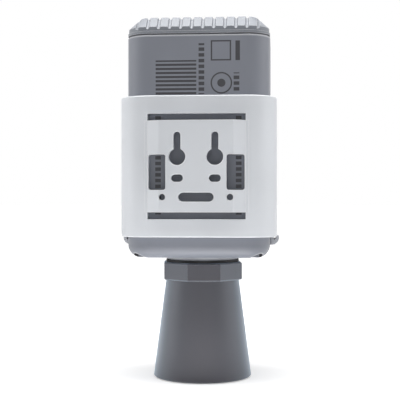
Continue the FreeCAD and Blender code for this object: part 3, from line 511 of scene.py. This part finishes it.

# %% [markdown]
# ## Cap
# The cap is the same grey plastic as the case. It has a slot of its own, so that its ribs can have
# painted highlights on their edges while the case below stays calm.

# %% Recipe for the cap
CAP_GREY = (0.224, 0.239, 0.267, 1)
EDGE_HIGHLIGHT = (0.8, 0.8, 0.82, 1)

tree, surface = start_material("cap_grey")
effect = use_group(tree, "moulded_plastic", Colour=CAP_GREY, Grain=2600.0, Rough=0.40)
# Painted highlight along the edges of the ribs.
tone = paint_edge_highlights(tree, effect, radius=0.0004, gain=6.0, amount=0.5, bright=EDGE_HIGHLIGHT)
tree.links.new(tone, surface.inputs["Base Color"])
finish_surface(tree, surface, effect, depth=0.00004, edge=0.0002)
print("cap done")

# %% [markdown]
# ## Metals
# Transducer, contacts, shield and screws differ only in colour, roughness and edge radius. A loop
# places the streaked metal in each and sets Metallic to 1 on the surface node itself.

# %% Recipes for metals
# Colour, roughness and radius of the edges in metres.
METALS = {
    "transducer_metal": ((0.72, 0.72, 0.73, 1), 0.32, 0.0003),
    "contact_metal": ((0.66, 0.64, 0.60, 1), 0.30, 0.0001),
    "shield_metal": ((0.64, 0.64, 0.65, 1), 0.35, 0.0001),
    "screw_steel": ((0.56, 0.56, 0.57, 1), 0.30, 0.0002),
}
for slot, (colour, rough, edge) in METALS.items():
    tree, surface = start_material(slot)
    effect = use_group(tree, "worked_metal", Colour=colour, Rough=rough)
    tree.links.new(effect.outputs["Colour"], surface.inputs["Base Color"])
    surface.inputs["Metallic"].default_value = 1.0
    finish_surface(tree, surface, effect, depth=0.00002, edge=edge)
print("metals", len(METALS))

# %% [markdown]
# ## Circuit board
# A board has green lacquer over fine copper tracks. Modelled tracks would be too fine to see, so
# the mortar lines of a Brick texture stand for them.

# %% Recipe for the circuit board
BOARD_GREEN = (0.02, 0.13, 0.055, 1)
TRACK_GREEN = (0.05, 0.22, 0.10, 1)
TRACKS_PER_METRE = 90.0

tree, surface = start_material("board_green")
place = tree.nodes.new("ShaderNodeTexCoord")
effect = use_group(tree, "moulded_plastic", Colour=BOARD_GREEN, Grain=1500.0, Rough=0.28)
tracks = add_node(
    tree, "ShaderNodeTexBrick", Vector=place.outputs["Object"], Scale=TRACKS_PER_METRE
)
tone = mix_colours(tree, tracks.outputs["Fac"], effect.outputs["Colour"], TRACK_GREEN)
tree.links.new(tone, surface.inputs["Base Color"])
finish_surface(tree, surface, effect, depth=0.00002, edge=0.0001)
print("board done")

# %% [markdown]
# ## Shapes for print
# The case carries dark print. A picture of it would need a file, and thin meshes would stand proud
# of the wall. Masks from plain arithmetic stay sharp at any size: each helper gives 1 inside its
# shape and 0 outside, and several masks join into one.

# %% Shapes from plain arithmetic
# An inner radius below zero fills a ring to its centre.
FROM_CENTRE = -1.0


def within(tree, value, low, high):
    """Give 1 where a value lies between two limits and 0 elsewhere."""
    above = calculate(tree, "GREATER_THAN", value, low)
    below = calculate(tree, "LESS_THAN", value, high)
    return calculate(tree, "MULTIPLY", above, below)


def block(tree, across, up, left, right_side, bottom, top):
    """Mask a rectangle."""
    return calculate(
        tree, "MULTIPLY", within(tree, across, left, right_side), within(tree, up, bottom, top)
    )


def stripes(tree, value, pitch, share):
    """Mask even stripes of which a share of each pitch is full."""
    turn = calculate(tree, "DIVIDE", value, pitch)
    return calculate(tree, "LESS_THAN", calculate(tree, "FRACT", turn), share)


def ring(tree, across, up, x, z, inner, outer):
    """Mask a ring about a centre."""
    along = calculate(tree, "POWER", calculate(tree, "SUBTRACT", across, x), 2.0)
    upward = calculate(tree, "POWER", calculate(tree, "SUBTRACT", up, z), 2.0)
    distance = calculate(tree, "SQRT", calculate(tree, "ADD", along, upward))
    return within(tree, distance, inner, outer)


def any_of(tree, masks):
    """Join several masks into one."""
    total = masks[0]
    for mask in masks[1:]:
        total = calculate(tree, "MAXIMUM", total, mask)
    return total


print("shapes ready")

# %% [markdown]
# ## Printed marks
# Above the bracket and behind its windows the print stands as plain shapes: a striped square, rows
# of dashes, a square outline, a bar and a ring. Each place is given in metres on the wall side, as
# left, right, bottom and top.

# %% Places of the print
STRIPED_SQUARE = (-0.0204, -0.0003, 0.1405, 0.1608)
DASH_COLUMNS = [
    (0.0008, 0.0036, 0.1440, 0.1690),
    (0.0180, 0.0208, 0.1452, 0.1545),
    (-0.0206, -0.0178, 0.0850, 0.1350),
    (0.0191, 0.0219, 0.0850, 0.1350),
]
OUTLINE_OUTSIDE = (0.0068, 0.0168, 0.1604, 0.1704)
OUTLINE_INSIDE = (0.0075, 0.0161, 0.1611, 0.1697)
BAR = (0.0189, 0.0211, 0.1605, 0.1701)
RING_CENTRE = (0.0120, 0.1495)
HOOP_RADII = (0.0046, 0.0053)
DOT_RADIUS = 0.0020
print("columns of dashes", len(DASH_COLUMNS))

# %% [markdown]
# ## Masks of the print
# Each place becomes a mask, and stripes of a given pitch break the square and the columns up. A
# limit in depth keeps the print off the other sides.

# %% Print on the wall side of the case
REAR = -0.0354
STRIPE_PITCH = 0.0020
STRIPE_SHARE = 0.55
DASH_PITCH = 0.0028
DASH_SHARE = 0.62

tree, _, result = new_group("wall_side_print", [], [("Dark", "Float")])
place = tree.nodes.new("ShaderNodeTexCoord")
split = add_node(tree, "ShaderNodeSeparateXYZ", Vector=place.outputs["Object"])
across, inward, up = split.outputs
rear = calculate(tree, "LESS_THAN", inward, REAR)
square = block(tree, across, up, *STRIPED_SQUARE)
striped = calculate(tree, "MULTIPLY", square, stripes(tree, up, STRIPE_PITCH, STRIPE_SHARE))
columns = any_of(tree, [block(tree, across, up, *column) for column in DASH_COLUMNS])
dashes = calculate(tree, "MULTIPLY", columns, stripes(tree, up, DASH_PITCH, DASH_SHARE))
outer = block(tree, across, up, *OUTLINE_OUTSIDE)
inner = block(tree, across, up, *OUTLINE_INSIDE)
outline = calculate(tree, "SUBTRACT", outer, inner)
bar = block(tree, across, up, *BAR)
hoop = ring(tree, across, up, *RING_CENTRE, *HOOP_RADII)
dot = ring(tree, across, up, *RING_CENTRE, FROM_CENTRE, DOT_RADIUS)
dark = any_of(tree, [striped, dashes, outline, bar, hoop, dot])
tree.links.new(calculate(tree, "MULTIPLY", dark, rear), result.inputs["Dark"])
print("group", tree.name)

# %% [markdown]
# ## Places of the screw wells
# Four case screws sit in wells under the bottom tray, and the wells open towards the corners, where
# they show as small dark cuts. Their places are worked out from the screws in the frame, because
# the finish of the case and the shape of the tray both need them.

# %% Places of the screw wells
HEAD_WIDTH = 0.0056
COLLAR_HEIGHT = 0.0021
MOUTH_SHIFT = 0.0018

low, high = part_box("base_screws")
screw_x = high[0] - HEAD_WIDTH / 2
screw_y = high[1] - HEAD_WIDTH / 2
mouth_x = screw_x + MOUTH_SHIFT
mouth_y = screw_y + MOUTH_SHIFT
tray_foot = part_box("base")[0][2] + COLLAR_HEIGHT
print("wells at", round(mouth_x, 4), round(mouth_y, 4))

# %% [markdown]
# ## Masks of the case
# The housing and the tray are one grey plastic, which differs in places: a painted highlight at the
# housing's upper rim, painted light that makes the lugs and the collar under the tray paler, and
# painted shade inside the wells, with a painted highlight on their lip. Masks from Object
# coordinates find these places, so they stay put from every side.

# %% Masks of the case
CASE_SIDE, _, RIM_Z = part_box("housing")[1]
# The painted highlight at the rim lies between these two depths below the rim.
LINE_BOTTOM = 0.0010
LINE_TOP = 0.0002
LUG_MARGIN = 0.0005
COLLAR_MARGIN = 0.0002
MOUTH_WIDTH = 0.0064
WELL_MARGIN = 0.0001
WELL_HEIGHT = 0.0030
LIP_WIDTH = 0.0004

well_radius = MOUTH_WIDTH / 2 + WELL_MARGIN
tree, surface = start_material("case_grey")
place = tree.nodes.new("ShaderNodeTexCoord")
split = add_node(tree, "ShaderNodeSeparateXYZ", Vector=place.outputs["Object"])
up = split.outputs["Z"]
side = calculate(tree, "ABSOLUTE", split.outputs["X"])
back = calculate(tree, "ABSOLUTE", split.outputs["Y"])
rim = within(tree, up, RIM_Z - LINE_BOTTOM, RIM_Z - LINE_TOP)
lugs = calculate(tree, "GREATER_THAN", side, CASE_SIDE + LUG_MARGIN)
collar = calculate(tree, "LESS_THAN", up, tray_foot - COLLAR_MARGIN)
low_down = within(tree, up, tray_foot, tray_foot + WELL_HEIGHT)
well_shade = ring(tree, side, back, mouth_x, mouth_y, FROM_CENTRE, well_radius)
lip_highlight = ring(tree, side, back, mouth_x, mouth_y, well_radius, well_radius + LIP_WIDTH)
print("rim at", round(RIM_Z, 4), "side at", round(CASE_SIDE, 4))

# %% [markdown]
# ## Case
# The tones are laid over the grey one after another, each through its mask and by its own amount:
# the painted highlights and the painted light first. The dark print and the painted shade in the
# wells come last, because print lies on top of everything.

# %% Recipe for the case
CASE_GREY = (0.220, 0.232, 0.267, 1)
PAINTED_LIGHT_GREY = (0.62, 0.63, 0.66, 1)
PRINT_AND_SHADE_DARK = (0.034, 0.034, 0.040, 1)
RIM_HIGHLIGHT_AMOUNT = 0.32
LUG_LIGHT_AMOUNT = 0.55
COLLAR_LIGHT_AMOUNT = 0.85
LIP_HIGHLIGHT_AMOUNT = 0.3

effect = use_group(tree, "moulded_plastic", Colour=CASE_GREY, Grain=2600.0, Rough=0.42)
marks = use_group(tree, "wall_side_print")
# Painted highlight: a pale line along the housing's upper rim.
glint = calculate(tree, "MULTIPLY", rim, RIM_HIGHLIGHT_AMOUNT)
tone = mix_colours(tree, glint, effect.outputs["Colour"], EDGE_HIGHLIGHT)
# Painted light: the lugs are mixed towards a pale grey, as if lit by the side lamps.
lug_light = calculate(tree, "MULTIPLY", lugs, LUG_LIGHT_AMOUNT)
# Painted light: the collar is mixed towards a pale grey, as if lit from below by the floor.
collar_light = calculate(tree, "MULTIPLY", collar, COLLAR_LIGHT_AMOUNT)
tone = mix_colours(tree, any_of(tree, [lug_light, collar_light]), tone, PAINTED_LIGHT_GREY)
# Painted highlight: a pale ring on the lip of each well.
lip_glint = calculate(tree, "MULTIPLY", lip_highlight, calculate(tree, "MULTIPLY", low_down, LIP_HIGHLIGHT_AMOUNT))
tone = mix_colours(tree, lip_glint, tone, EDGE_HIGHLIGHT)
# Print and the painted shade inside the wells are both mixed towards the dark colour.
dark = any_of(tree, [marks.outputs["Dark"], calculate(tree, "MULTIPLY", well_shade, low_down)])
tone = mix_colours(tree, dark, tone, PRINT_AND_SHADE_DARK)
tree.links.new(tone, surface.inputs["Base Color"])
finish_surface(tree, surface, effect, depth=0.00004, edge=0.0003)
print("case done")

# %% [markdown]
# ## Cutting
# Two pieces are shaped by cutting one mesh out of another. Operators work on the object that is
# selected and active, so one helper picks it, and the other cuts and clears the cutter away.


# %% Cutting one mesh out of another
def pick(piece):
    """Select one object alone and make it active."""
    bpy.ops.object.select_all(action="DESELECT")
    piece.select_set(True)
    bpy.context.view_layer.objects.active = piece


def cut_away(piece, cutter):
    """Cut one mesh out of another by Boolean and delete the cutter."""
    cut = piece.modifiers.new("cut", "BOOLEAN")
    cut.operation = "DIFFERENCE"
    cut.object = cutter
    pick(piece)
    bpy.ops.object.modifier_apply(modifier=cut.name)
    bpy.data.objects.remove(cutter)


print("cutting ready")

# %% [markdown]
# ## Case screws
# Four pan-head screws hold the tray. In the CAD model they are plain steps, and a close view from
# below wants a rounded head and a cross recess. A cylinder becomes the head, a Bevel modifier
# rounds it, and two boxes cut the recess by Boolean, as a punch would.

# %% One screw
HEAD_HEIGHT = 0.0022
HEAD_ROUND = 0.0005
HEAD_SIDES = 48
ROUND_STEPS = 3
RECESS_LENGTH = 0.0032
RECESS_WIDTH = 0.0008
RECESS_DEPTH = 0.0026

head_z = low[2]
bpy.ops.mesh.primitive_cylinder_add(
    vertices=HEAD_SIDES, radius=HEAD_WIDTH / 2, depth=HEAD_HEIGHT,
    location=(screw_x, screw_y, head_z + HEAD_HEIGHT / 2),
)
screw = bpy.context.object
screw.name = "base_screw_set"
bevel = screw.modifiers.new("round", "BEVEL")
bevel.width = HEAD_ROUND
bevel.segments = ROUND_STEPS
bpy.ops.object.modifier_apply(modifier=bevel.name)
for turn in (0, 90):
    bpy.ops.mesh.primitive_cube_add(
        size=1, location=(screw_x, screw_y, head_z), rotation=(0, 0, math.radians(turn)),
        scale=(RECESS_LENGTH, RECESS_WIDTH, RECESS_DEPTH),
    )
    cut_away(screw, bpy.context.object)
print("screw head", len(screw.data.polygons), "faces")

# %% [markdown]
# ## Copies in the other corners
# What stands in one corner is modelled once and copied to the other three. A Mirror modifier turns
# a shape over, so the mesh is copied and moved in edit mode, first across and then from front to
# back, which keeps every face as it was.


# %% Copies in the other corners
def copy_to_corners(across, back):
    """Copy the active mesh, which stands in one corner, to the other three."""
    bpy.ops.object.mode_set(mode="EDIT")
    bpy.ops.mesh.select_all(action="SELECT")
    bpy.ops.mesh.duplicate_move(TRANSFORM_OT_translate={"value": (-2 * across, 0, 0)})
    bpy.ops.mesh.select_all(action="SELECT")
    bpy.ops.mesh.duplicate_move(TRANSFORM_OT_translate={"value": (0, -2 * back, 0)})
    bpy.ops.object.mode_set(mode="OBJECT")


print("copying ready")

# %% [markdown]
# ## All four screws
# The shank is a second cylinder, joined to the head. The finished screw is copied to the other
# corners, replaces the plain screws and rides on the sensor's body.

# %% All four screws
SHANK_WIDTH = 0.0030
SHANK_SIDES = 32
SCREW_SMOOTH = math.radians(35)

shank_length = high[2] - head_z - HEAD_HEIGHT
bpy.ops.object.select_all(action="DESELECT")
bpy.ops.mesh.primitive_cylinder_add(
    vertices=SHANK_SIDES, radius=SHANK_WIDTH / 2, depth=shank_length,
    location=(screw_x, screw_y, high[2] - shank_length / 2),
)
screw.select_set(True)
bpy.context.view_layer.objects.active = screw
bpy.ops.object.join()
bpy.ops.object.transform_apply(location=True, rotation=True, scale=True)
copy_to_corners(screw_x, screw_y)
bpy.ops.object.shade_smooth_by_angle(angle=SCREW_SMOOTH)
screw.data.materials.clear()
screw.data.materials.append(bpy.data.materials["screw_steel"])
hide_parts("base_screws")
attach(screw, "sensor")
print("screws", len(screw.data.polygons), "faces")

# %% [markdown]
# ## Mouths of the screw wells
# In the photo each well cuts the tray's round lower edge near the corner. The mouths are four short
# cylinders that serve only as cutters: one stands beside a screw and is copied to the other corners.

# %% Mouths of the screw wells
MOUTH_DEPTH = 0.0024
MOUTH_SIDES = 48

bpy.ops.object.select_all(action="DESELECT")
bpy.ops.mesh.primitive_cylinder_add(
    vertices=MOUTH_SIDES, radius=MOUTH_WIDTH / 2, depth=2 * MOUTH_DEPTH,
    location=(mouth_x, mouth_y, tray_foot),
)
mouths = bpy.context.object
bpy.ops.object.transform_apply(location=True, rotation=True, scale=True)
copy_to_corners(mouth_x, mouth_y)
print("mouths", len(mouths.data.polygons), "faces")

# %% [markdown]
# ## Tray with cut corners
# A CAD mesh is never changed, so the tray is a copy of it. Its triangles are loose and a Boolean
# needs a closed mesh, so doubled points are merged first. After the cut the copy stands in for the
# CAD tray.

# %% Tray with cut corners
MERGE_DISTANCE = 0.000001
TRAY_SMOOTH = math.radians(25)

tray = bpy.data.objects.new("base_tray", bpy.data.objects["base"].data.copy())
bpy.context.collection.objects.link(tray)
pick(tray)
bpy.ops.object.mode_set(mode="EDIT")
bpy.ops.mesh.select_all(action="SELECT")
bpy.ops.mesh.remove_doubles(threshold=MERGE_DISTANCE)
bpy.ops.mesh.customdata_custom_splitnormals_clear()
bpy.ops.object.mode_set(mode="OBJECT")
cut_away(tray, mouths)
bpy.ops.object.shade_smooth_by_angle(angle=TRAY_SMOOTH)
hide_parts("base")
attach(tray, "sensor")
print("tray", len(tray.data.polygons), "faces")
